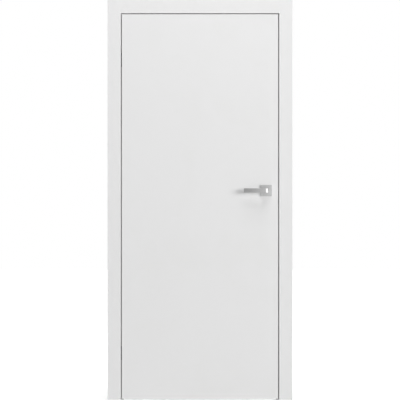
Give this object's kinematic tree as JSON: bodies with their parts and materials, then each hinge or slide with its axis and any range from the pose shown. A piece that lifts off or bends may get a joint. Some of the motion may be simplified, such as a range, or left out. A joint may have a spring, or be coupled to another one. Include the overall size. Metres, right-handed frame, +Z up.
{
  "type": "interior door",
  "caption": "White flush interior door with a lever handle, hung on concealed hinges in a mitred adjustable frame with architraves, so that leaf and frame faces lie in one plane.",
  "frame": {"origin": "foot of the hinge jamb's wall face, where the front plane of the wall meets the floor", "axes": "+X along the wall from the hinge side to the lock side, +Y into the wall from the side the door opens to, +Z up"},
  "size_m": [0.974, 0.1839, 2.108],
  "materials": {
    "white_lacquer": "satin white lacquer on board",
    "core_board": "raw chipboard",
    "seal_rubber": "light grey soft seal",
    "satin_nickel": "satin nickel",
    "satin_steel": "satin steel",
    "hinge_zinc": "satin zinc die-casting",
    "latch_plastic": "moulded plastic"
  },
  "bodies": {
    "frame": {"hinge_jamb": "white_lacquer", "strike_jamb": "white_lacquer", "head_jamb": "white_lacquer", "front_architrave_left": "white_lacquer", "front_architrave_right": "white_lacquer", "front_architrave_top": "white_lacquer", "back_architrave_left": "white_lacquer", "back_architrave_right": "white_lacquer", "back_architrave_top": "white_lacquer", "seal_left": "seal_rubber", "seal_right": "seal_rubber", "seal_top": "seal_rubber", "strike_plate": "satin_steel", "upper_frame_case": "hinge_zinc", "lower_frame_case": "hinge_zinc"},
    "leaf": {"front_skin": "white_lacquer", "back_skin": "white_lacquer", "hinge_stile": "white_lacquer", "lock_stile": "white_lacquer", "top_rail": "white_lacquer", "bottom_rail": "white_lacquer", "leaf_core": "core_board", "lock_case": "satin_steel", "lock_faceplate": "satin_steel", "latch_bolt": "latch_plastic", "front_rosette": "satin_nickel", "back_rosette": "satin_nickel", "upper_leaf_case": "hinge_zinc", "lower_leaf_case": "hinge_zinc"},
    "handle": {"front_lever": "satin_nickel", "back_lever": "satin_nickel", "spindle": "satin_steel"},
    "frame_arms": {"upper_frame_arm": "hinge_zinc", "lower_frame_arm": "hinge_zinc"},
    "leaf_arms": {"upper_leaf_arms": "hinge_zinc", "lower_leaf_arms": "hinge_zinc"}
  },
  "joints": [
    {"name": "door_swing", "type": "hinge", "parent": "frame", "child": "leaf", "pos_m": [0.0275, -0.019, 1], "axis": [0, 0, -1], "range_deg": [0, 110]},
    {"name": "lever_turn", "type": "hinge", "parent": "leaf", "child": "handle", "pos_m": [0.791, 0.004, 1.104], "axis": [0, -1, 0], "range_deg": [0, 40], "stiffness_Nm_per_rad": 1.3, "springref_deg": -28.65},
    {"name": "frame_arm_turn", "type": "hinge", "parent": "frame", "child": "frame_arms", "pos_m": [0.0185, -0.004, 1], "axis": [0, 0, -1], "range_deg": [0, 110]},
    {"name": "leaf_arm_turn", "type": "hinge", "parent": "leaf", "child": "leaf_arms", "pos_m": [0.0365, -0.004, 1], "axis": [0, 0, 1], "range_deg": [0, 110]}
  ],
  "couplings": [
    {"joint": "frame_arm_turn", "follows": "door_swing", "ratio": 1},
    {"joint": "leaf_arm_turn", "follows": "door_swing", "ratio": 1}
  ]
}
